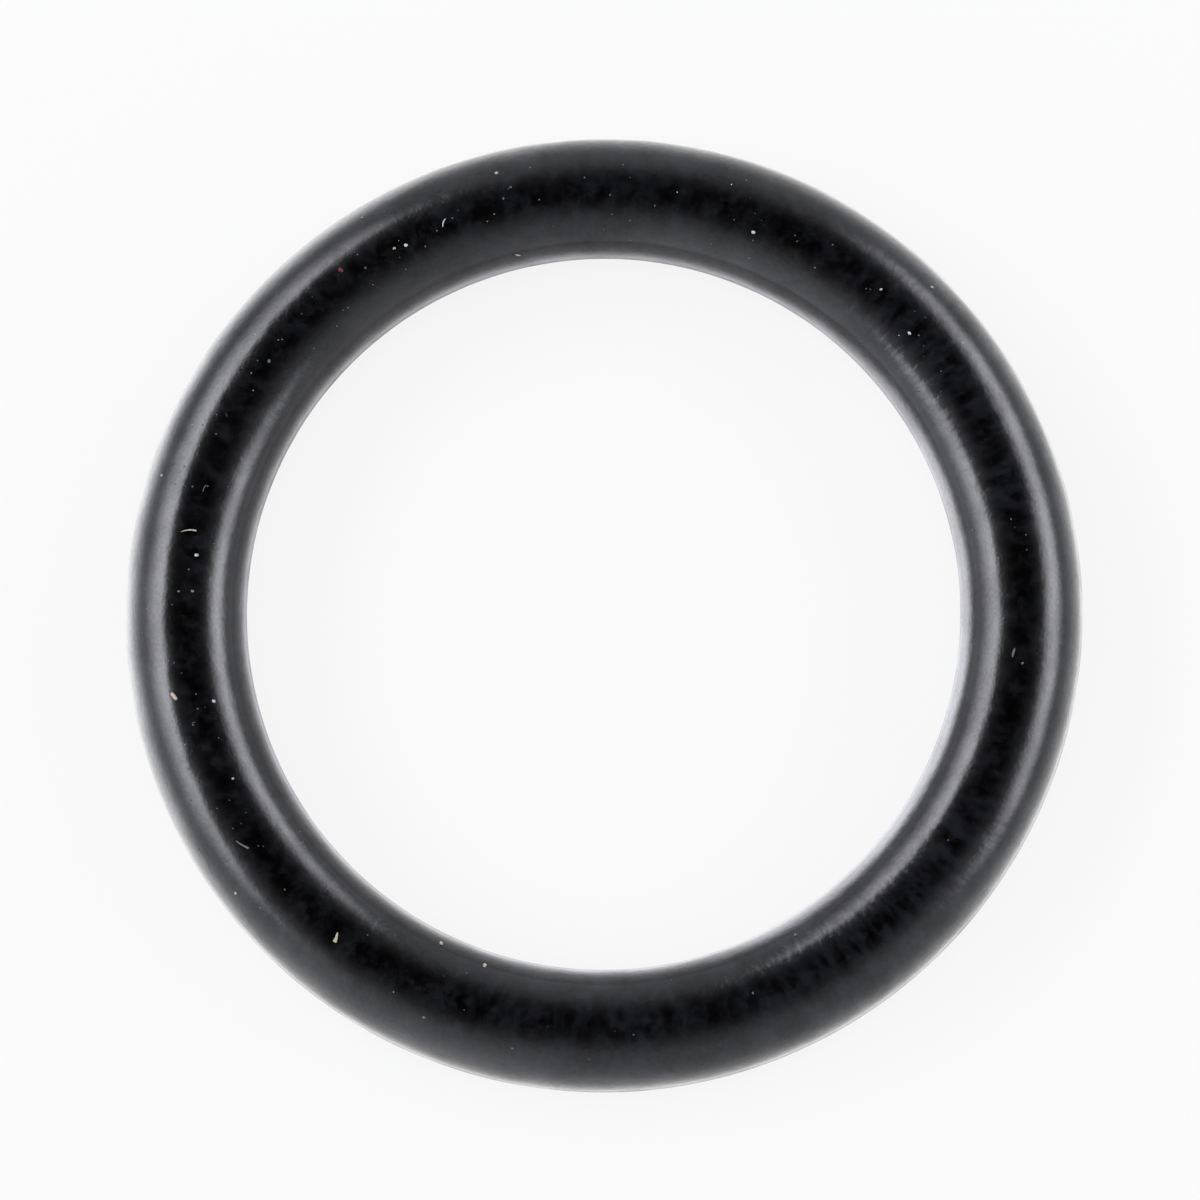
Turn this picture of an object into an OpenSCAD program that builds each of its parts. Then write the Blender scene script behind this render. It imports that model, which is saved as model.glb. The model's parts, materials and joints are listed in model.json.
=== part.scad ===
// Moulded rubber o-ring, lying flat.
// The origin is the centre of the ring, and the ring's axis is +Z.
// The mould's two halves meet in the plane z = 0. There the trimmed flash leaves
// a low ridge round the inside and round the outside of the ring.

/* [Ring] */
// Inside diameter of the ring, across the round section and not over the ridge
ring_inner_d = 15.54; // [8:0.01:60]
// Diameter of the round section
section_d = 2.62; // [1.6:0.01:7]

/* [Parting line] */
// How far the trimmed flash stands out of the round section
flash_h = 0.02; // [0.015:0.005:0.08]
// Width of the flash's crest, from one mould half to the other
flash_w = 0.12; // [0.06:0.01:0.2]
// Radius of the small fillet where the flash leaves the round section
flash_foot_r = 0.01; // [0.005:0.005:0.02]

/* [Hidden] */

section_r = section_d / 2;
// From the ring's axis to the middle of the section
pitch_r = (ring_inner_d + section_d) / 2;
// The fillet's centre, from the middle of the section: the fillet touches
// the flash's side and the round section
foot_z = flash_w / 2 + flash_foot_r;
foot_x = sqrt(pow(section_r + flash_foot_r, 2) - pow(foot_z, 2));
// Where the fillet meets the round section
foot_share = section_r / (section_r + flash_foot_r);
foot_meet = [foot_x * foot_share, foot_z * foot_share];

// Curve steps round the section, round a fillet and round the ring
section_steps = 96;
foot_steps = 24;
ring_steps = 240;

// The rubber that fills the corner at one side of the flash, on the outer side
module foot() {
    difference() {
        polygon([[foot_x, 0], [foot_x, foot_z], foot_meet, [foot_meet[0], 0]]);
        translate([foot_x, foot_z]) circle(r = flash_foot_r, $fn = foot_steps);
    }
}

// The flash that the mould leaves on the outer side of the section, trimmed short
module flash() {
    translate([0, -flash_w / 2]) square([section_r + flash_h, flash_w]);
    foot();
    mirror([0, 1]) foot();
}

// The section of the ring, with its middle at the origin
module section() {
    circle(r = section_r, $fn = section_steps);
    flash();
    mirror([1, 0]) flash();
}

module o_ring() {
    color([0.06, 0.06, 0.065])
        rotate_extrude($fn = ring_steps)
            translate([pitch_r, 0]) section();
}

o_ring();
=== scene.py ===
"""A moulded rubber o-ring that lies on a pale floor, seen close from above."""

import json
import logging
import math
import random
from dataclasses import dataclass, field
from enum import Enum
from typing import Callable, Iterable, Optional, Union

import bpy
from mathutils import Matrix, Vector

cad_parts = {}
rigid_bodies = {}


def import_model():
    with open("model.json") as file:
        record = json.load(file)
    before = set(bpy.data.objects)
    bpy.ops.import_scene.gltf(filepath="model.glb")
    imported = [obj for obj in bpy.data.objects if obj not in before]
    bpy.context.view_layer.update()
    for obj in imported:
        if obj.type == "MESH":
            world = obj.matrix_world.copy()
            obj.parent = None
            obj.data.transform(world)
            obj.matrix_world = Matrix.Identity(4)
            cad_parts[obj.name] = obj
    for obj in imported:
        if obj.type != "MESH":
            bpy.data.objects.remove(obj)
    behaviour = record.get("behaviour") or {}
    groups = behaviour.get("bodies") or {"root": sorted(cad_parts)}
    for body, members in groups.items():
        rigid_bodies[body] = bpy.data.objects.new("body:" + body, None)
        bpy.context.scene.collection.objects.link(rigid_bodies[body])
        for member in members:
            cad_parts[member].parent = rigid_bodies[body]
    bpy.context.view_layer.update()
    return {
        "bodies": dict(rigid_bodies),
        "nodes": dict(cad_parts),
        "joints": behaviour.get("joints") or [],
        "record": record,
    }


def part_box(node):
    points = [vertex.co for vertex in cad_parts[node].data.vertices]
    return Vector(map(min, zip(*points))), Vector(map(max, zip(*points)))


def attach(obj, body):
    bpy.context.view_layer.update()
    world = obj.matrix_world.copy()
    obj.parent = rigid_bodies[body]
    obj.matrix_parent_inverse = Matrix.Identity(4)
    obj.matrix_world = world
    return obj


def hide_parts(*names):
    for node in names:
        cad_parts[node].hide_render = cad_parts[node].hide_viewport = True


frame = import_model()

MM = 0.001
UM = 0.001 * MM
NODE = "o_ring"
BODY = "root"

log = logging.getLogger("o_ring")

Colour = tuple[float, float, float, float]
Triple = tuple[float, float, float]
Range = tuple[float, float]

WHITE: Colour = (1.0, 1.0, 1.0, 1.0)


class Slot(Enum):
    """The record's material slots; no piece here is given one."""

    RUBBER = "rubber"
    DUST = "dust"


class Tint(Enum):
    """The colours that specks of dust and lint come in, as linear red, green and blue."""

    PALE = (0.72, 0.74, 0.70, 1.0)
    CREAM = (0.66, 0.60, 0.44, 1.0)
    PINK = (0.34, 0.25, 0.27, 1.0)
    RED = (0.22, 0.03, 0.03, 1.0)
    TEAL = (0.13, 0.20, 0.19, 1.0)
    GREY = (0.18, 0.19, 0.18, 1.0)


class Part(Enum):
    """The parts of a mesh that are selected by their place."""

    EDGE = "EDGE"
    FACE = "FACE"


class Operation(Enum):
    """The Math nodes that shader arithmetic uses."""

    ADD = "ADD"
    SUBTRACT = "SUBTRACT"
    MULTIPLY = "MULTIPLY"


class VectorOperation(Enum):
    """The Vector Math nodes that the materials and the room use."""

    ADD = "ADD"
    SUBTRACT = "SUBTRACT"
    SCALE = "SCALE"
    NORMALIZE = "NORMALIZE"
    LENGTH = "LENGTH"
    DOT_PRODUCT = "DOT_PRODUCT"


class Ray(Enum):
    """The rays that the floor and the room tell apart, as the Light Path node names them."""

    CAMERA = "Is Camera Ray"
    GLOSSY = "Is Glossy Ray"


def deselect_everything() -> None:
    """Leave edit mode and deselect every object."""
    if bpy.context.mode != "OBJECT":
        bpy.ops.object.mode_set(mode="OBJECT")
    bpy.ops.object.select_all(action="DESELECT")


def make_active(piece: bpy.types.Object) -> None:
    """Select one object alone and make it the active one.

    Args:
        piece: The object that the next operator works on.
    """
    deselect_everything()
    piece.select_set(True)
    bpy.context.view_layer.objects.active = piece


def select_parts(piece: bpy.types.Object, kind: Part, wanted: Callable[..., bool]) -> int:
    """Select the edges or faces of a mesh that pass a test, and enter edit mode.

    Args:
        piece: The mesh object to select in.
        kind: Whether edges or faces are selected.
        wanted: Takes one edge or face and says whether it is selected.

    Returns:
        How many were selected.
    """
    bpy.ops.object.mode_set(mode="EDIT")
    bpy.ops.mesh.select_mode(type=kind.value)
    bpy.ops.mesh.select_all(action="DESELECT")
    bpy.ops.object.mode_set(mode="OBJECT")
    parts = piece.data.edges if kind is Part.EDGE else piece.data.polygons
    found = 0
    for part in parts:
        part.select = wanted(part)
        found += part.select
    bpy.ops.object.mode_set(mode="EDIT")
    return found


def bring_to_metres(piece: bpy.types.Object) -> None:
    """Scale a mesh that was modelled in millimetres to metres, and apply its place.

    Args:
        piece: The mesh object, whose transforms become part of its mesh.
    """
    make_active(piece)
    piece.matrix_world = Matrix.Diagonal((MM, MM, MM, 1.0)) @ piece.matrix_world
    bpy.ops.object.transform_apply(location=True, rotation=True, scale=True)


def joined(pieces: list[bpy.types.Object], name: str) -> bpy.types.Object:
    """Join small pieces that lie on the ring into one, and hang it in the frame.

    Args:
        pieces: The pieces, modelled in millimetres.
        name: The name of the joined piece.

    Returns:
        The joined piece.
    """
    make_active(pieces[0])
    for piece in pieces:
        piece.select_set(True)
    bpy.ops.object.join()
    whole = bpy.context.active_object
    whole.name = whole.data.name = name
    bring_to_metres(whole)
    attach(whole, BODY)
    return whole


class Signal:
    """A shader value. Arithmetic on it adds Math nodes to the tree that it belongs to."""

    def __init__(self, sheet: "NodeSheet", socket: bpy.types.NodeSocket) -> None:
        """Wrap one output socket.

        Args:
            sheet: The node tree that holds the socket.
            socket: The output socket that carries the value.
        """
        self.sheet = sheet
        self.socket = socket

    def _math(self, operation: Operation, first: "Value", second: "Value") -> "Signal":
        """Add one Math node.

        Args:
            operation: What the node does.
            first: Its first value.
            second: Its second value.

        Returns:
            The node's result.
        """
        return self.sheet.add(
            "ShaderNodeMath", {"operation": operation.value}, {0: first, 1: second}
        )

    def __add__(self, other: "Value") -> "Signal":
        """Return self + other."""
        return self._math(Operation.ADD, self, other)

    __radd__ = __add__

    def __sub__(self, other: "Value") -> "Signal":
        """Return self - other."""
        return self._math(Operation.SUBTRACT, self, other)

    def __rsub__(self, other: "Value") -> "Signal":
        """Return other - self."""
        return self._math(Operation.SUBTRACT, other, self)

    def __mul__(self, other: "Value") -> "Signal":
        """Return self * other."""
        return self._math(Operation.MULTIPLY, self, other)

    __rmul__ = __mul__

    def between(self, low: float, high: float) -> "Signal":
        """Ease from 0 at a low value to 1 at a high one.

        Args:
            low: The value below which the result is 0.
            high: The value above which the result is 1.

        Returns:
            The eased value, from 0 to 1.
        """
        return self.sheet.add(
            "ShaderNodeMapRange",
            {"interpolation_type": "SMOOTHSTEP"},
            {"Value": self, "From Min": low, "From Max": high},
        )


Value = Union[Signal, float]


class NodeSheet:
    """A node tree, with one method that adds every kind of node.

    The three numbers say where the Mix node keeps its colours among its inputs and outputs.
    """

    MIX_FIRST = 6
    MIX_SECOND = 7
    MIX_RESULT = 2

    def __init__(self, tree: bpy.types.NodeTree) -> None:
        """Start from an empty tree.

        Args:
            tree: The node tree to fill.
        """
        self.tree = tree
        tree.nodes.clear()

    def add(
        self,
        kind: str,
        settings: Optional[dict[str, object]] = None,
        sockets: Optional[dict[Union[str, int], object]] = None,
        output: Union[str, int] = 0,
    ) -> Signal:
        """Add a node, make its settings, and then fill its sockets.

        Args:
            kind: The node's type name.
            settings: The node's properties, by name.
            sockets: Numbers, colours or signals, by input name or index.
            output: The name or index of the output that is returned.

        Returns:
            The chosen output.
        """
        node = self.tree.nodes.new(kind)
        for name, value in (settings or {}).items():
            setattr(node, name, value)
        for name, value in (sockets or {}).items():
            if isinstance(value, Signal):
                self.tree.links.new(value.socket, node.inputs[name])
            else:
                node.inputs[name].default_value = value
        return Signal(self, node.outputs[output]) if node.outputs else Signal(self, None)

    def place_in_mm(self) -> Signal:
        """Return the shaded point's place on the object, in millimetres."""
        place = self.add("ShaderNodeTexCoord", output="Object")
        return self.scaled(place, 1.0 / MM)

    def vector(
        self,
        operation: VectorOperation,
        first: Signal,
        second: Union[Signal, Triple, None] = None,
        output: str = "Vector",
    ) -> Signal:
        """Add one Vector Math node.

        Args:
            operation: What the node does.
            first: Its first vector.
            second: Its second vector, where it takes one.
            output: "Vector", or "Value" where the result is a number.

        Returns:
            The node's result.
        """
        sockets: dict[Union[str, int], object] = {0: first}
        if second is not None:
            sockets[1] = second
        return self.add("ShaderNodeVectorMath", {"operation": operation.value}, sockets, output)

    def scaled(self, vector: Signal, factor: float) -> Signal:
        """Return a vector times a number."""
        settings = {"operation": VectorOperation.SCALE.value}
        return self.add("ShaderNodeVectorMath", settings, {0: vector, "Scale": factor})

    def reach(self, vector: Signal, direction: Triple) -> Signal:
        """Return how far a vector reaches in a direction, which has the length 1."""
        return self.vector(VectorOperation.DOT_PRODUCT, vector, direction, "Value")

    def axis(self, vector: Signal, name: str) -> Signal:
        """Return the X, Y or Z of a vector."""
        return self.add("ShaderNodeSeparateXYZ", None, {0: vector}, name)

    def combined(self, x: Value, y: Value, z: Value) -> Signal:
        """Return the vector with these three coordinates."""
        return self.add("ShaderNodeCombineXYZ", None, {"X": x, "Y": y, "Z": z})

    def noise(
        self, place: Signal, per_mm: float, detail: float = 2.0, rough: float = 0.5
    ) -> Signal:
        """Return smooth noise, about 0.5 on average.

        Args:
            place: Where the noise is read, in millimetres.
            per_mm: How many blotches there are to a millimetre.
            detail: How many finer layers are added.
            rough: How strong the finer layers are.

        Returns:
            The noise, from 0 to 1.
        """
        return self.add(
            "ShaderNodeTexNoise",
            {"noise_dimensions": "3D"},
            {"Vector": place, "Scale": per_mm, "Detail": detail, "Roughness": rough},
        )

    def mixed(self, share: Value, first: Colour, second: Colour) -> Signal:
        """Mix two colours.

        Args:
            share: How much of the second colour is taken, from 0 to 1.
            first: The colour at 0.
            second: The colour at 1.

        Returns:
            The mixed colour.
        """
        sockets = {0: share, self.MIX_FIRST: first, self.MIX_SECOND: second}
        return self.add("ShaderNodeMix", {"data_type": "RGBA"}, sockets, self.MIX_RESULT)

    def bump(self, height: Signal, distance_um: float, below: Optional[Signal] = None) -> Signal:
        """Turn a height into a surface normal.

        Args:
            height: The height, from 0 to 1.
            distance_um: How high 1 stands, in micrometres.
            below: The normal that this one is laid over.

        Returns:
            The bumped normal.
        """
        sockets: dict[Union[str, int], object] = {"Height": height, "Distance": distance_um * UM}
        if below is not None:
            sockets["Normal"] = below
        return self.add("ShaderNodeBump", None, sockets)

    def is_ray(self, kind: Ray) -> Signal:
        """Return 1 for the rays of one kind and 0 for all others."""
        return self.add("ShaderNodeLightPath", output=kind.value)

    def blended(self, share: Value, first: Signal, second: Signal) -> Signal:
        """Return a shader that is the first at a share of 0 and the second at 1."""
        return self.add("ShaderNodeMixShader", None, {0: share, 1: first, 2: second})

    def glowing(self, colour: Colour, strength: float) -> Signal:
        """Return a shader that gives off light."""
        return self.add("ShaderNodeEmission", None, {"Color": colour, "Strength": strength})


def new_material(name: str) -> tuple[bpy.types.Material, NodeSheet]:
    """Make an empty material.

    Args:
        name: The material's name.

    Returns:
        The material and its node tree.
    """
    material = bpy.data.materials.new(name)
    material.use_nodes = True
    return material, NodeSheet(material.node_tree)


@dataclass(frozen=True)
class RingSize:
    """The ring's sizes in millimetres, as the frame gives them."""

    pitch_radius: float
    section_radius: float
    flash_height: float
    flash_width: float

    @classmethod
    def from_frame(cls, packed: dict) -> "RingSize":
        """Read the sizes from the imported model's box and its mounts.


        Returns:
            The ring's sizes.
        """
        low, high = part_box(NODE)
        mounts = {m["name"]: m["dims"] for m in packed["record"]["mounts"]}
        crest_in = mounts["inner_seat"]["r_mm"]
        crest_out = mounts["outer_seat"]["r_mm"]
        pitch = (crest_in + crest_out) / 2
        section = (high.z - low.z) / 2 / MM
        return cls(pitch, section, crest_out - pitch - section, mounts["inner_seat"]["length_mm"])

    def seat(self, around: float, across: float, lift: float = 0.0) -> tuple[Vector, Vector]:
        """Find a place on the ring's upper side.

        Args:
            around: Degrees round the ring, from +X towards +Y.
            across: Share of the section's radius, from -1 at the inside to 1 at the outside.
            lift: How far the place stands off the rubber, in millimetres.

        Returns:
            The place in millimetres, and the direction away from the rubber there.
        """
        turn = math.radians(around)
        outward = Vector((math.cos(turn), math.sin(turn), 0.0))
        away = outward * across + Vector((0.0, 0.0, math.sqrt(1.0 - across * across)))
        return outward * self.pitch_radius + away * (self.section_radius + lift), away

    def lay(self, spot: Vector, lift: float) -> Vector:
        """Move a point near the ring on to its surface.

        Args:
            spot: The point, in millimetres.
            lift: How far it then stands off the rubber, in millimetres.

        Returns:
            The moved point.
        """
        middle = Vector((spot.x, spot.y, 0.0)).normalized() * self.pitch_radius
        return middle + (spot - middle).normalized() * (self.section_radius + lift)


@dataclass(frozen=True)
class CombMarks:
    """A part of the ring with short marks, like a comb's, across its section.

    middle and reach are in degrees round the ring. The marks grow with the cosine of the angle
    from the middle, from nothing at the reach's cosine to all at full_from of the way to 1.
    """

    middle: float
    reach: float
    strength: float = 1.0
    full_from: float = 0.7

    def share(self, sheet: NodeSheet, outward: Signal) -> Signal:
        """Find how strong the marks are at the shaded point.

        Args:
            sheet: The material's node tree.
            outward: The direction from the ring's axis to the point.

        Returns:
            The strength, from 0 to this part's own.
        """
        turn = math.radians(self.middle)
        near = sheet.reach(outward, (math.cos(turn), math.sin(turn), 0.0))
        edge = math.cos(math.radians(self.reach))
        return near.between(edge, edge + (1.0 - edge) * self.full_from) * self.strength


@dataclass(frozen=True)
class BlackRubber:
    """Half-gloss black rubber: a dark body under the smooth skin that a polished mould leaves.

    A name that ends in per_mm says how many blotches of a noise there are to a millimetre, and
    one that ends in um says how high it stands, in micrometres. A range says between which
    values of its noise the effect grows from nothing to its whole. Streaks and ticks are
    streak_length times longer across the section than round the ring. Streaks bring
    streak_bloom of the bloom's colour, mottle the rest, and ticks tick_bloom more. The skin is
    uneven by its grain for skin_grain_share, and by its patches for the rest.
    """

    name: str = "black_rubber"
    body: Colour = (0.0003, 0.0003, 0.0004, 1.0)
    bloom: Colour = (0.0095, 0.0100, 0.0122, 1.0)
    roughness: float = 0.20
    roughness_spread: float = 0.10
    skin_roughness: float = 0.15
    skin_ior: float = 1.6
    skin_thinnest: float = 0.55
    skin_grain_share: float = 0.4
    grain_per_mm: float = 14.0
    grain_um: float = 3.0
    grain_range: Range = (0.30, 0.70)
    mottle_per_mm: float = 3.4
    mottle_um: float = 13.0
    mottle_range: Range = (0.40, 0.75)
    patches_per_mm: float = 0.9
    patches_um: float = 30.0
    patches_range: Range = (0.36, 0.62)
    streaks_per_mm: float = 3.2
    streak_length: float = 2.5
    streaks_um: float = 7.0
    streaks_range: Range = (0.45, 0.75)
    streak_bloom: float = 0.3
    ticks_per_mm: float = 4.4
    ticks_um: float = 4.0
    ticks_range: Range = (0.38, 0.66)
    tick_bloom: float = 0.60
    ticked: tuple[CombMarks, ...] = (
        CombMarks(32.0, 26.0),
        CombMarks(312.0, 28.0),
        CombMarks(264.0, 20.0, 0.6),
        CombMarks(92.0, 20.0, 0.4),
    )

    def build(self, pitch_radius: float) -> bpy.types.Material:
        """Make the material.

        Args:
            pitch_radius: From the ring's axis to the middle of its section, in millimetres.

        Returns:
            The finished material.
        """
        material, sheet = new_material(self.name)
        place = sheet.place_in_mm()
        grain = sheet.noise(place, self.grain_per_mm, detail=1.0)
        mottle = sheet.noise(place, self.mottle_per_mm, detail=4.0, rough=0.6)
        patches = sheet.noise(place, self.patches_per_mm, detail=2.0)
        outward, smeared = self._smeared(sheet, place, pitch_radius)
        streaks = sheet.noise(smeared, self.streaks_per_mm, detail=2.0)
        ticks = self._ticks(sheet, outward, smeared)
        cloudy = mottle.between(*self.mottle_range) * (1.0 - self.streak_bloom)
        striped = streaks.between(*self.streaks_range) * self.streak_bloom
        bloomed = cloudy + striped + ticks * self.tick_bloom
        roughness = self.roughness + (mottle - 0.5) * self.roughness_spread
        fine = grain.between(*self.grain_range) * self.skin_grain_share
        coarse = patches.between(*self.patches_range) * (1.0 - self.skin_grain_share)
        skin = (fine + coarse) * (1.0 - self.skin_thinnest) + self.skin_thinnest
        normal = sheet.bump(grain, self.grain_um)
        normal = sheet.bump(mottle, self.mottle_um, normal)
        normal = sheet.bump(patches, self.patches_um, normal)
        normal = sheet.bump(streaks, self.streaks_um, normal)
        normal = sheet.bump(ticks, self.ticks_um, normal)
        surface = sheet.add(
            "ShaderNodeBsdfPrincipled",
            None,
            {
                "Base Color": sheet.mixed(bloomed, self.body, self.bloom),
                "Roughness": roughness,
                "Coat Weight": skin,
                "Coat Roughness": self.skin_roughness,
                "Coat IOR": self.skin_ior,
                "Normal": normal,
            },
        )
        sheet.add("ShaderNodeOutputMaterial", None, {"Surface": surface})
        return material

    def _smeared(
        self, sheet: NodeSheet, place: Signal, pitch_radius: float
    ) -> tuple[Signal, Signal]:
        """Find where noise is read that smears across the section, all the way round the ring.

        Args:
            sheet: The material's node tree.
            place: The shaded point, in millimetres.
            pitch_radius: From the ring's axis to the middle of its section, in millimetres.

        Returns:
            The direction from the ring's axis to the point, and the place to read noise at.
        """
        flat = sheet.combined(sheet.axis(place, "X"), sheet.axis(place, "Y"), 0.0)
        outward = sheet.vector(VectorOperation.NORMALIZE, flat)
        on_pitch = sheet.scaled(outward, pitch_radius)
        from_pitch = sheet.vector(VectorOperation.SUBTRACT, place, on_pitch)
        short = sheet.scaled(from_pitch, 1.0 / self.streak_length)
        return outward, sheet.vector(VectorOperation.ADD, on_pitch, short)

    def _ticks(self, sheet: NodeSheet, outward: Signal, smeared: Signal) -> Signal:
        """Make the short marks, like a comb's, that cross the section in parts of the ring.

        Args:
            sheet: The material's node tree.
            outward: The direction from the ring's axis to the shaded point.
            smeared: The place to read noise at.

        Returns:
            The marks, from 0 to 1.
        """
        marks = sheet.noise(smeared, self.ticks_per_mm, detail=1.0).between(*self.ticks_range)
        share: Value = 0.0
        for part in self.ticked:
            share = part.share(sheet, outward) + share
        return marks * share


@dataclass(frozen=True)
class DustFinish:
    """Dry, matt dust or lint of one colour, a little lighter and darker from place to place."""

    tint: Tint
    shade: float = 0.55
    roughness: float = 0.85
    blotches_per_mm: float = 30.0
    blotches_um: float = 4.0
    blotches_range: Range = (0.3, 0.7)

    def build(self) -> bpy.types.Material:
        """Make the material of this colour, or find the one that is there already.

        Returns:
            The finished material.
        """
        name = f"dust_{self.tint.name.lower()}"
        if name in bpy.data.materials:
            return bpy.data.materials[name]
        material, sheet = new_material(name)
        blotches = sheet.noise(sheet.place_in_mm(), self.blotches_per_mm)
        red, green, blue, alpha = self.tint.value
        dark = (red * self.shade, green * self.shade, blue * self.shade, alpha)
        light_share = blotches.between(*self.blotches_range)
        surface = sheet.add(
            "ShaderNodeBsdfPrincipled",
            None,
            {
                "Base Color": sheet.mixed(light_share, dark, self.tint.value),
                "Roughness": self.roughness,
                "Normal": sheet.bump(blotches, self.blotches_um),
            },
        )
        sheet.add("ShaderNodeOutputMaterial", None, {"Surface": surface})
        return material


@dataclass
class MouldedRing:
    """The ring: a round section with the trimmed flash of its mould inside and outside.

    The crest takes up crest_share of the flash's width, and the swelling under it flank_share
    of the flash's height. Trimming wears what stands above trimmed_from of that height.
    """

    size: RingSize
    finish: BlackRubber = field(default_factory=BlackRubber)
    ring_steps: int = 480
    section_steps: int = 96
    crest_share: float = 0.4
    flank_share: float = 0.3
    worn_edge: float = 0.012
    trimmed_from: float = 0.7
    trim_depth: float = 0.009
    trim_scale: float = 0.9
    name: str = "moulded_ring"

    def build(self) -> bpy.types.Object:
        """Model the ring, dress it and hang it in the frame.

        Returns:
            The ring's object.
        """
        piece = self._round_ring()
        self._raise_flash(piece)
        self._wear_edges(piece)
        self._trim_flash(piece)
        bring_to_metres(piece)
        bpy.ops.object.shade_smooth()
        piece.data.materials.append(self.finish.build(self.size.pitch_radius))
        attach(piece, BODY)
        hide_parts(NODE)
        # The rubber mirrors all but itself, which would draw a hard dark line inside the ring.
        piece.visible_glossy = False
        return piece

    @property
    def _crest(self) -> float:
        """Half the width of the flash's crest."""
        return self.size.flash_width * self.crest_share / 2

    @property
    def _flank(self) -> float:
        """Half the width of the swelling that the crest stands on: one step of the section."""
        return self.size.section_radius * math.sin(math.tau / self.section_steps)

    def _round_ring(self) -> bpy.types.Object:
        """Add the plain ring, cut along both sides of the flash's crest.

        Returns:
            The plain ring, in edit mode.
        """
        deselect_everything()
        bpy.ops.mesh.primitive_torus_add(
            major_segments=self.ring_steps,
            minor_segments=self.section_steps,
            major_radius=self.size.pitch_radius,
            minor_radius=self.size.section_radius,
        )
        piece = bpy.context.active_object
        piece.name = piece.data.name = self.name
        bpy.ops.object.mode_set(mode="EDIT")
        for height in (-self._crest, self._crest):
            bpy.ops.mesh.select_all(action="SELECT")
            bpy.ops.mesh.bisect(plane_co=(0, 0, height), plane_no=(0, 0, 1))
        return piece

    def _raise_flash(self, piece: bpy.types.Object) -> None:
        """Raise the swelling and then its crest, inside and outside the ring.

        Args:
            piece: The plain ring.
        """
        share = self.flank_share
        for half, part in ((self._flank, share), (self._crest, 1.0 - share)):
            select_parts(piece, Part.FACE, lambda face: abs(face.center.z) < half)
            bpy.ops.transform.shrink_fatten(value=self.size.flash_height * part)

    def _wear_edges(self, piece: bpy.types.Object) -> None:
        """Round the long edges of the flash's crest.

        Args:
            piece: The ring with its flash.
        """
        bpy.ops.object.mode_set(mode="OBJECT")
        slack = self.worn_edge / 4
        heights = [abs(vertex.co.z) for vertex in piece.data.vertices]

        def is_long_edge(edge: bpy.types.MeshEdge) -> bool:
            """Say whether both ends of an edge are at the crest's height."""
            return all(abs(heights[i] - self._crest) < slack for i in edge.vertices)

        found = select_parts(piece, Part.EDGE, is_long_edge)
        bpy.ops.mesh.bevel(offset=self.worn_edge, segments=2, affect="EDGES")
        log.info("%s: %d edges of the flash rounded", self.name, found)

    def _out(self, spot: Vector) -> float:
        """Return a point's distance from the middle of the ring's section."""
        return math.hypot(math.hypot(spot.x, spot.y) - self.size.pitch_radius, spot.z)

    def _trim_flash(self, piece: bpy.types.Object) -> None:
        """Wear the crest of the flash down unevenly, as trimming leaves it.

        Args:
            piece: The ring with its flash.
        """
        bpy.ops.object.mode_set(mode="OBJECT")
        crest = self.size.section_radius + self.size.flash_height * self.trimmed_from
        group = piece.vertex_groups.new(name="crest")
        on_crest = [v.index for v in piece.data.vertices if self._out(v.co) > crest]
        group.add(on_crest, 1.0, "REPLACE")
        clouds = bpy.data.textures.new("trimming", "CLOUDS")
        clouds.noise_scale = self.trim_scale
        modifier = piece.modifiers.new("trimming", "DISPLACE")
        modifier.texture = clouds
        modifier.vertex_group = group.name
        modifier.mid_level = 0.0
        modifier.strength = -self.trim_depth
        make_active(piece)
        bpy.ops.object.modifier_apply(modifier=modifier.name)


@dataclass(frozen=True)
class Mote:
    """A speck of dust on the ring: its place, its width in millimetres and its colour."""

    around: float
    across: float
    width: float
    tint: Tint = Tint.PALE


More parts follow.
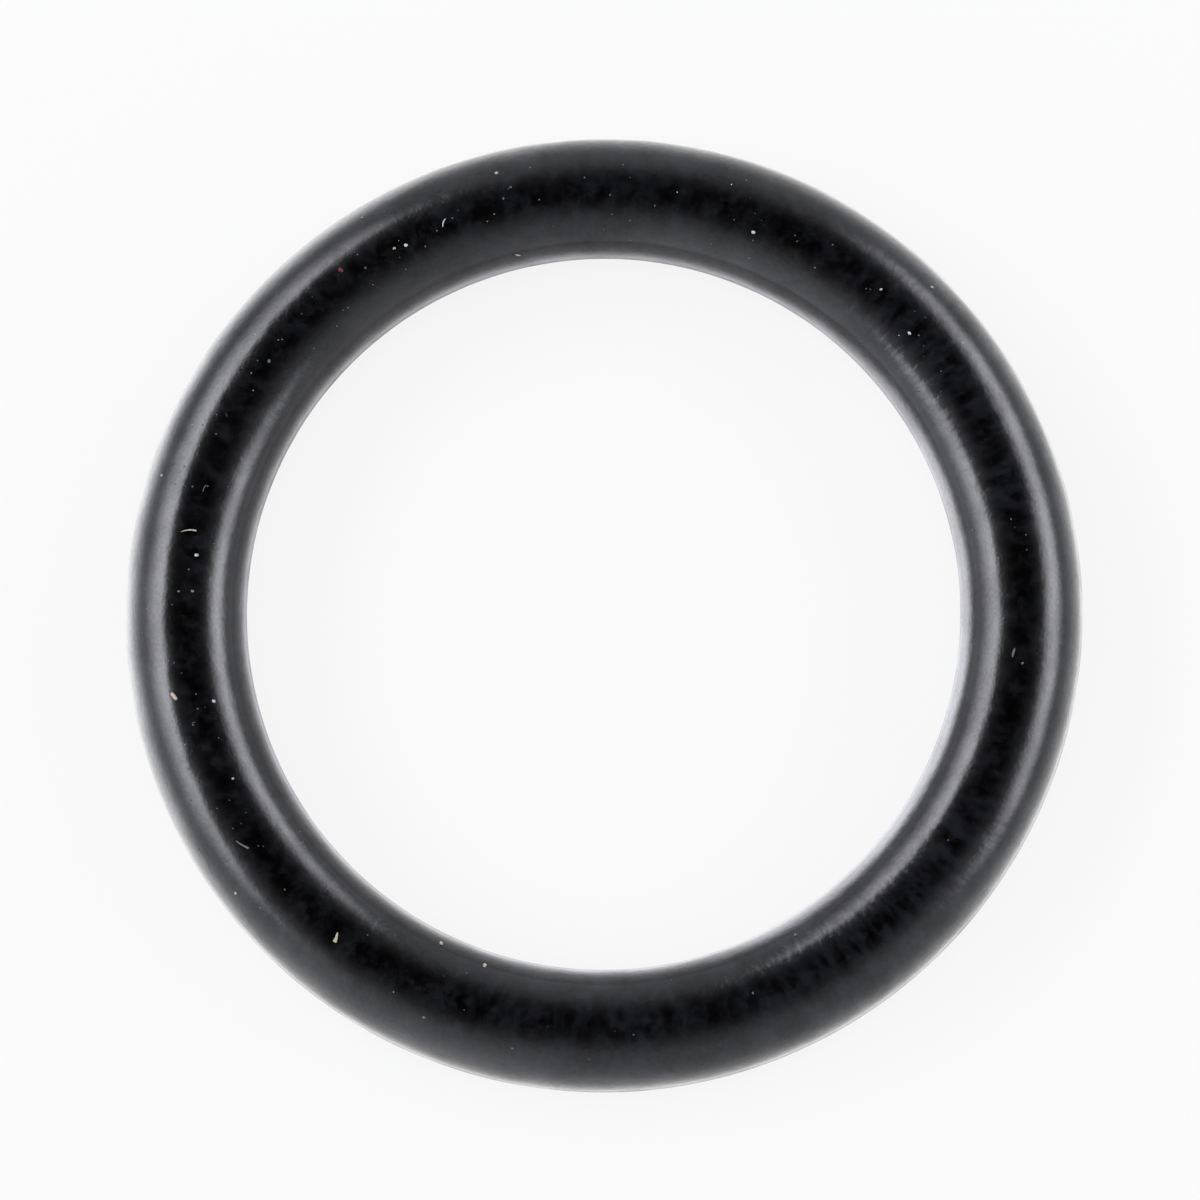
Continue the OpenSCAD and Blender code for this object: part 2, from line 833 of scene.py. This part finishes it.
@dataclass
class Dust:
    """The specks of dust that lie on the rubber: those that stand out, and a fine scatter.

    A drawn speck is kept with a chance of scatter_chance on average. It is scatter_swing more
    at the angle dustiest, and as much less opposite.
    """

    size: RingSize
    motes: tuple[Mote, ...] = (
        Mote(118.2, -0.09, 0.085),
        Mote(119.8, -0.04, 0.070, Tint.CREAM),
        Mote(124.6, -0.06, 0.050, Tint.GREY),
        Mote(162.9, 0.69, 0.065),
        Mote(172.4, -0.19, 0.090),
        Mote(103.5, 0.52, 0.080, Tint.CREAM),
        Mote(99.2, 0.50, 0.040, Tint.GREY),
        Mote(103.4, 0.06, 0.055, Tint.GREY),
        Mote(68.0, -0.22, 0.090),
        Mote(67.2, -0.62, 0.040, Tint.GREY),
        Mote(48.7, 0.07, 0.065, Tint.CREAM),
        Mote(41.7, -0.12, 0.080),
        Mote(44.3, 0.70, 0.070, Tint.CREAM),
        Mote(204.8, -0.25, 0.060),
        Mote(193.4, -0.36, 0.085),
        Mote(217.8, 0.70, 0.080, Tint.CREAM),
        Mote(244.3, -0.82, 0.110, Tint.CREAM),
        Mote(251.8, -0.75, 0.110, Tint.CREAM),
        Mote(246.6, 0.40, 0.075, Tint.GREY),
        Mote(258.6, 0.45, 0.055, Tint.GREY),
        Mote(291.4, -0.12, 0.050, Tint.GREY),
        Mote(300.6, -0.68, 0.070, Tint.GREY),
        Mote(177.5, -0.18, 0.070, Tint.PINK),
        Mote(177.6, 0.05, 0.050, Tint.PINK),
        Mote(127.5, 0.15, 0.120, Tint.RED),
        Mote(143.2, -0.07, 0.080, Tint.TEAL),
        Mote(179.9, 0.57, 0.045, Tint.PINK),
        Mote(352.3, 0.05, 0.060, Tint.GREY),
        Mote(11.9, -0.67, 0.070, Tint.GREY),
    )
    scatter_count: int = 150
    scatter_width: Range = (0.018, 0.042)
    scatter_reach: float = 0.9
    scatter_tints: tuple[Tint, ...] = (Tint.PALE, *[Tint.GREY] * 6, Tint.TEAL)
    scatter_chance: float = 0.55
    scatter_swing: float = 0.35
    scatter_seed: int = 11
    dustiest: float = 130.0
    lump_seeds: tuple[int, ...] = (3, 8, 21)
    lump_shape: Triple = (1.0, 0.78, 0.62)
    unevenness: float = 0.16
    lift_share: float = 0.12
    name: str = "dust_specks"

    def build(self) -> bpy.types.Object:
        """Lay every speck on the ring and join them.

        Returns:
            The dust's object.
        """
        draw = random.Random(self.scatter_seed)
        lumps = [self._lump(seed) for seed in self.lump_seeds]
        specks = [self._laid(draw.choice(lumps), mote, draw) for mote in self.motes]
        specks += [self._laid(draw.choice(lumps), mote, draw) for mote in self._scatter(draw)]
        for lump in lumps:
            bpy.data.objects.remove(lump)
        return joined(specks, self.name)

    def _lump(self, seed: int) -> bpy.types.Object:
        """Model one uneven grain, 1 mm wide.

        Args:
            seed: Picks the grain's own shape.

        Returns:
            The grain.
        """
        deselect_everything()
        bpy.ops.mesh.primitive_ico_sphere_add(subdivisions=2, radius=0.5)
        lump = bpy.context.active_object
        bpy.ops.object.mode_set(mode="EDIT")
        bpy.ops.mesh.select_all(action="SELECT")
        bpy.ops.transform.vertex_random(offset=self.unevenness, seed=seed)
        bpy.ops.transform.resize(value=self.lump_shape)
        bpy.ops.object.mode_set(mode="OBJECT")
        bpy.ops.object.shade_smooth()
        return lump

    def _scatter(self, draw: random.Random) -> list[Mote]:
        """Draw the fine specks, more of them at the upper left of the ring.

        Args:
            draw: The source of chance.

        Returns:
            The specks.
        """
        found: list[Mote] = []
        while len(found) < self.scatter_count:
            around = draw.uniform(0.0, 360.0)
            across = draw.triangular(-self.scatter_reach, self.scatter_reach, 0.0)
            width = draw.uniform(*self.scatter_width)
            tint = draw.choice(self.scatter_tints)
            swing = self.scatter_swing * math.cos(math.radians(around - self.dustiest))
            if draw.random() < self.scatter_chance + swing:
                found.append(Mote(around, across, width, tint))
        return found

    def _laid(
        self, lump: bpy.types.Object, mote: Mote, draw: random.Random
    ) -> bpy.types.Object:
        """Copy a grain and lay it on the rubber.

        Args:
            lump: The grain.
            mote: Where it lies, its width and its colour.
            draw: The source of chance, for the way that it is turned.

        Returns:
            The copy.
        """
        make_active(lump)
        bpy.ops.object.duplicate()
        speck = bpy.context.active_object
        lift = mote.width * self.lift_share
        spot, away = self.size.seat(mote.around, mote.across, lift)
        facing = away.to_track_quat("Z", "Y").to_matrix().to_4x4()
        spin = Matrix.Rotation(draw.uniform(0.0, math.tau), 4, "Z")
        speck.matrix_world = Matrix.Translation(spot) @ facing @ spin @ Matrix.Scale(mote.width, 4)
        speck.data.materials.append(DustFinish(mote.tint).build())
        return speck


@dataclass(frozen=True)
class Strand:
    """A short piece of lint on the ring. Lengths are in millimetres and angles in degrees.

    heading is the way that it points seen from above, from +X towards +Y. bow is how far its
    middle stands aside, and its half-widths run from one end to the other.
    """

    around: float
    across: float
    length: float
    heading: float
    bow: float
    half_widths: Triple
    tint: Tint = Tint.PALE


@dataclass
class Lint:
    """The short strands of lint that lie on the rubber. arch is how far their middles rise."""

    size: RingSize
    strands: tuple[Strand, ...] = (
        Strand(169.3, 0.00, 0.33, 4.0, 0.034, (0.007, 0.014, 0.020), Tint.CREAM),
        Strand(163.0, -0.08, 0.17, 64.0, 0.015, (0.006, 0.009, 0.006), Tint.GREY),
        Strand(191.6, 0.26, 0.18, -52.0, 0.008, (0.030, 0.042, 0.026), Tint.CREAM),
        Strand(213.4, 0.14, 0.31, -30.0, -0.012, (0.012, 0.015, 0.024), Tint.GREY),
        Strand(231.2, 0.02, 0.21, 74.0, -0.012, (0.044, 0.030, 0.010), Tint.CREAM),
        Strand(112.1, -0.02, 0.19, 72.0, 0.026, (0.007, 0.014, 0.008), Tint.PALE),
        Strand(353.6, -0.11, 0.20, 74.0, 0.012, (0.007, 0.026, 0.009), Tint.GREY),
        Strand(103.3, -0.85, 0.14, -32.0, 0.010, (0.014, 0.012, 0.012), Tint.CREAM),
    )
    arch: float = 0.008
    lift_share: float = 0.15
    name: str = "lint_strands"

    def build(self) -> bpy.types.Object:
        """Lay every strand on the ring and join them.

        Returns:
            The lint's object.
        """
        return joined([self._laid(strand) for strand in self.strands], self.name)

    def _laid(self, strand: Strand) -> bpy.types.Object:
        """Bend one strand to its course over the rubber and give it its thickness.

        Args:
            strand: The strand's sizes and place.

        Returns:
            The strand as a mesh.
        """
        deselect_everything()
        bpy.ops.curve.primitive_nurbs_path_add()
        piece = bpy.context.active_object
        curve = piece.data
        points = curve.splines[0].points
        middle, away = self.size.seat(strand.around, strand.across)
        turn = math.radians(strand.heading)
        along = Vector((math.cos(turn), math.sin(turn), 0.0))
        aside = away.cross(along)
        start, centre, end = strand.half_widths
        last = len(points) - 1
        for i, point in enumerate(points):
            way = 2.0 * i / last - 1.0
            arc = 1.0 - way * way
            half_width = centre * arc + (start if way < 0 else end) * (1.0 - arc)
            spot = middle + along * (strand.length / 2 * way) + aside * (strand.bow * arc)
            spot = self.size.lay(spot, half_width * self.lift_share + self.arch * arc)
            point.co = (*spot, 1.0)
            point.radius = half_width / centre
        curve.splines[0].use_endpoint_u = True
        curve.bevel_depth = centre
        curve.bevel_resolution = 3
        curve.use_fill_caps = True
        curve.materials.append(DustFinish(strand.tint).build())
        bpy.ops.object.convert(target="MESH")
        bpy.ops.object.shade_smooth()
        return bpy.context.active_object


@dataclass(frozen=True)
class View:
    """The camera over the ring. Lengths are in millimetres and angles in degrees.

    The azimuth turns the camera about +Z from the -Y side, and up in the picture is +Y.
    """

    azimuth: float = 20.0
    elevation: float = 84.6
    distance: float = 165.0
    lens: float = 227.7
    sensor: float = 36.0
    nearest: float = 10.0
    farthest: float = 10000.0
    aim: Triple = (-0.0683, 0.2833, 0.0)
    name: str = "view"

    def place(self) -> Matrix:
        """Work out where the camera stands and how it is turned.

        Returns:
            The camera's world matrix, in millimetres.
        """
        turn = math.radians(self.azimuth)
        rise = math.radians(self.elevation)
        away = Vector(
            (
                math.sin(turn) * math.cos(rise),
                -math.cos(turn) * math.cos(rise),
                math.sin(rise),
            )
        )
        right = Vector((0.0, 1.0, 0.0)).cross(away).normalized()
        true_up = away.cross(right)
        spot = Vector(self.aim) + away * self.distance
        return Matrix(
            (
                (right.x, true_up.x, away.x, spot.x),
                (right.y, true_up.y, away.y, spot.y),
                (right.z, true_up.z, away.z, spot.z),
                (0.0, 0.0, 0.0, 1.0),
            )
        )

    def build(self) -> bpy.types.Object:
        """Add the camera and make it the scene's.

        Returns:
            The camera.
        """
        deselect_everything()
        bpy.ops.object.camera_add()
        camera = bpy.context.active_object
        camera.name = self.name
        place = self.place()
        place.translation *= MM
        camera.matrix_world = place
        camera.data.lens = self.lens
        camera.data.sensor_width = self.sensor
        camera.data.clip_start = self.nearest * MM
        camera.data.clip_end = self.farthest * MM
        bpy.context.scene.camera = camera
        return camera


@dataclass(frozen=True)
class SoftBox:
    """A rectangular lamp that faces the ring and fades to its edges.

    azimuth and elevation are degrees as seen from the ring, and lengths are in millimetres.
    brightest is the height of its brightest line, from -1 at the lower edge to 1 at the upper.
    """

    name: str
    azimuth: float
    elevation: float
    away: float
    width: float
    height: float
    brightness: float
    brightest: float = 0.0
    tint: Triple = (0.98, 0.99, 1.06)
    in_gloss: bool = True
    in_diffuse: bool = True

    def build(self) -> bpy.types.Object:
        """Hang the lamp.

        Returns:
            The lamp's object.
        """
        deselect_everything()
        turn = math.radians(self.azimuth)
        rise = math.radians(self.elevation)
        way = Vector(
            (math.cos(turn) * math.cos(rise), math.sin(turn) * math.cos(rise), math.sin(rise))
        )
        bpy.ops.object.light_add(type="AREA", location=way * self.away * MM)
        lamp = bpy.context.active_object
        lamp.name = self.name
        lamp.rotation_euler = (-way).to_track_quat("-Z", "Y").to_euler()
        lamp.data.shape = "RECTANGLE"
        lamp.data.size = self.width * MM
        lamp.data.size_y = self.height * MM
        lamp.data.color = self.tint
        lamp.data.energy = self.brightness * math.pi * self.width * self.height * MM * MM
        lamp.visible_camera = False
        lamp.visible_glossy = self.in_gloss
        lamp.visible_diffuse = self.in_diffuse
        self._fade_to_edges(lamp)
        return lamp

    def _fade_to_edges(self, lamp: bpy.types.Object) -> None:
        """Make the lamp brightest along one line and dark at its edges.

        Args:
            lamp: The lamp's object.
        """
        lamp.data.use_nodes = True
        sheet = NodeSheet(lamp.data.node_tree)
        spot = sheet.add("ShaderNodeNewGeometry", output="Parametric")
        across = sheet.axis(spot, "X") * 2.0 - 1.0
        upward = sheet.axis(spot, "Y") * 2.0 - 1.0
        rising = upward.between(-1.0, self.brightest)
        falling = 1.0 - upward.between(self.brightest, 1.0)
        glow = (1.0 - across * across) * rising * falling
        light = sheet.add("ShaderNodeEmission", None, {"Strength": glow})
        sheet.add("ShaderNodeOutputLight", None, {"Surface": light})


@dataclass(frozen=True)
class FloorFinish:
    """A pale matt floor that the camera sees nearly white. Lengths are in millimetres.

    To the ring's gloss the floor is clear, so that the ring mirrors the white room below it.
    Inside the ring it partly hides that room with painted shade and painted light that only the
    gloss sees: it is dark there, as the ring's shadow on the floor would be, but for a faint
    painted glow, with some more light close to the ring and a painted pool of light towards one
    side. A range says between which distances, or at which grazing angles, an effect grows from
    nothing to its whole, and by_ring_range counts outwards from the middle of the ring's section.
    """

    ring_radius: float
    colour: Colour = (0.80, 0.80, 0.80, 1.0)
    white_share: float = 0.85
    hole_share: float = 0.6
    hole_border: float = 2.0
    hole_tint: Colour = (0.96, 0.96, 1.05, 1.0)
    brightest: float = 4.0
    least_glow: float = 0.07
    ring_glow: float = 0.20
    ring_shade: float = 0.9
    by_ring_range: Range = (-4.0, -1.6)
    side_glow: float = 0.92
    side: Triple = (0.985, -0.174, 0.0)
    side_range: Range = (1.0, 6.2)
    grazing_range: Range = (0.72, 0.92)
    name: str = "pale_floor"

    def build(self) -> bpy.types.Material:
        """Make the material.

        Returns:
            The finished material.
        """
        material, sheet = new_material(self.name)
        matt = sheet.add("ShaderNodeBsdfDiffuse", None, {"Color": self.colour})
        plain = sheet.glowing(WHITE, 1.0)
        shown = sheet.blended(sheet.is_ray(Ray.CAMERA) * self.white_share, matt, plain)
        place = sheet.place_in_mm()
        from_axis = sheet.vector(VectorOperation.LENGTH, place, output="Value")
        low, high = self.ring_radius - self.hole_border, self.ring_radius + self.hole_border
        inside = 1.0 - from_axis.between(low, high)
        # Painted shade and painted light inside the ring, seen only in the ring's gloss: a dark
        # sheet with a painted glow.
        dark = sheet.glowing(self.hole_tint, 0.0)
        bright = sheet.glowing(self.hole_tint, self.brightest)
        hole = sheet.blended(self._painted_hole_light(sheet, place, from_axis), dark, bright)
        clear = sheet.add("ShaderNodeBsdfTransparent")
        mirrored = sheet.blended(inside * self.hole_share, clear, hole)
        surface = sheet.blended(sheet.is_ray(Ray.GLOSSY), shown, mirrored)
        sheet.add("ShaderNodeOutputMaterial", None, {"Surface": surface})
        return material

    def _painted_hole_light(self, sheet: NodeSheet, place: Signal, from_axis: Signal) -> Signal:
        """Find the painted light and shade on the floor inside the ring, which only the ring's
        gloss sees.

        Args:
            sheet: The material's node tree.
            place: The shaded point, in millimetres.
            from_axis: The point's distance from the ring's axis.

        Returns:
            The share of the brightest glow, from 0 to 1.
        """
        start, end = self.by_ring_range
        # Painted light near the ring and a painted pool of light towards one side, dimmed by a
        # painted shade of the ring.
        by_ring = from_axis.between(self.ring_radius + start, self.ring_radius + end)
        to_side = sheet.reach(place, self.side).between(*self.side_range)
        lit = to_side * (1.0 - by_ring * self.ring_shade)
        facing = sheet.add("ShaderNodeLayerWeight", None, {"Blend": 0.5}, "Facing")
        grazing = facing.between(*self.grazing_range)
        glow = by_ring * self.ring_glow + lit * self.side_glow + self.least_glow
        return glow * (1.0 - grazing)


@dataclass(frozen=True)
class Room:
    """The light from all round: dark overhead, pale at the horizon and white below.

    The pale light is least along dark_axis, and a little stronger towards pale_side. A range
    says between which values an effect grows from nothing to its whole.
    """

    tint: Colour = (0.96, 0.98, 1.05, 1.0)
    dark: float = 0.004
    dark_axis: Triple = (0.059, 0.163, 0.985)
    pale: float = 0.58
    pale_range: Range = (0.0, 0.88)
    loss_with_height: float = 0.5
    pale_side: Triple = (-0.866, -0.500, 0.0)
    pale_side_gain: float = 0.40
    pale_side_range: Range = (0.45, 0.88)
    white_below: float = 1.22
    below_range: Range = (0.04, 0.90)
    name: str = "room"

    def build(self) -> None:
        """Make the world and give it its light."""
        world = bpy.data.worlds.new(self.name)
        bpy.context.scene.world = world
        world.use_nodes = True
        sheet = NodeSheet(world.node_tree)
        way = sheet.add("ShaderNodeTexCoord", output="Generated")
        rise = sheet.reach(way, self.dark_axis)
        to_side = sheet.reach(way, self.pale_side).between(*self.pale_side_range)
        gain = to_side * self.pale_side_gain + 1.0
        palest = (1.0 - rise * self.loss_with_height) * gain * self.pale
        overhead = (1.0 - rise * rise).between(*self.pale_range) * palest + self.dark
        below = (0.0 - sheet.axis(way, "Z")).between(*self.below_range)
        glow = overhead * (1.0 - below) + below * self.white_below
        seen = sheet.is_ray(Ray.CAMERA)
        strength = glow * (1.0 - seen) + seen
        tint = sheet.mixed(below * (1.0 - seen) + seen, self.tint, WHITE)
        light = sheet.add("ShaderNodeBackground", None, {"Color": tint, "Strength": strength})
        sheet.add("ShaderNodeOutputWorld", None, {"Surface": light})


@dataclass(frozen=True)
class Studio:
    """The floor under the ring, the soft boxes round it, and the room."""

    floor_height: float
    floor_finish: FloorFinish
    floor_width: float = 2400.0
    boxes: tuple[SoftBox, ...] = (
        SoftBox("soft_box_left", 166.0, 29.0, 220.0, 430.0, 200.0, 4.0, brightest=0.6),
        SoftBox("soft_box_right", 13.0, 27.0, 220.0, 415.0, 185.0, 3.7, brightest=-0.1),
        SoftBox("back_light_left", 162.0, -36.0, 220.0, 470.0, 290.0, 1.1, in_diffuse=False),
        SoftBox("top_light", 90.0, 90.0, 400.0, 300.0, 300.0, 4.6, in_gloss=False),
    )
    room: Room = Room()

    def build(self) -> None:
        """Set the stage: floor, lamps and room."""
        self._floor()
        for box in self.boxes:
            box.build()
        self.room.build()
        bpy.context.scene.view_settings.view_transform = "Standard"

    def _floor(self) -> None:
        """Add the plain pale floor that the ring lies on."""
        deselect_everything()
        bpy.ops.mesh.primitive_plane_add(
            size=self.floor_width * MM, location=(0, 0, self.floor_height * MM)
        )
        floor = bpy.context.active_object
        floor.name = "floor"
        bpy.ops.object.transform_apply(location=True, rotation=True, scale=True)
        floor.data.materials.append(self.floor_finish.build())


def write_sizes() -> None:
    """Hold a helper that turns a box's corners into plain lists; nothing is written."""

    def plain(box: Iterable[Iterable[float]]) -> list[list[float]]:
        """Return a box's corners as lists of numbers."""
        return [[float(value) for value in corner] for corner in box]


def main() -> None:
    """Build the scene in order and report each piece."""
    logging.basicConfig(level=logging.INFO, format="%(name)s: %(message)s")
    size = RingSize.from_frame(frame)
    log.info("sizes in millimetres: %s", size)
    ring = MouldedRing(size).build()
    log.info("%s: %d faces", ring.name, len(ring.data.polygons))
    for piece in (Dust(size).build(), Lint(size).build()):
        log.info("%s: %d faces", piece.name, len(piece.data.polygons))
    View().build()
    Studio(-size.section_radius, FloorFinish(size.pitch_radius)).build()
    log.info("floor, lamps and camera are in place")
    write_sizes()


if __name__ == "__main__":
    main()
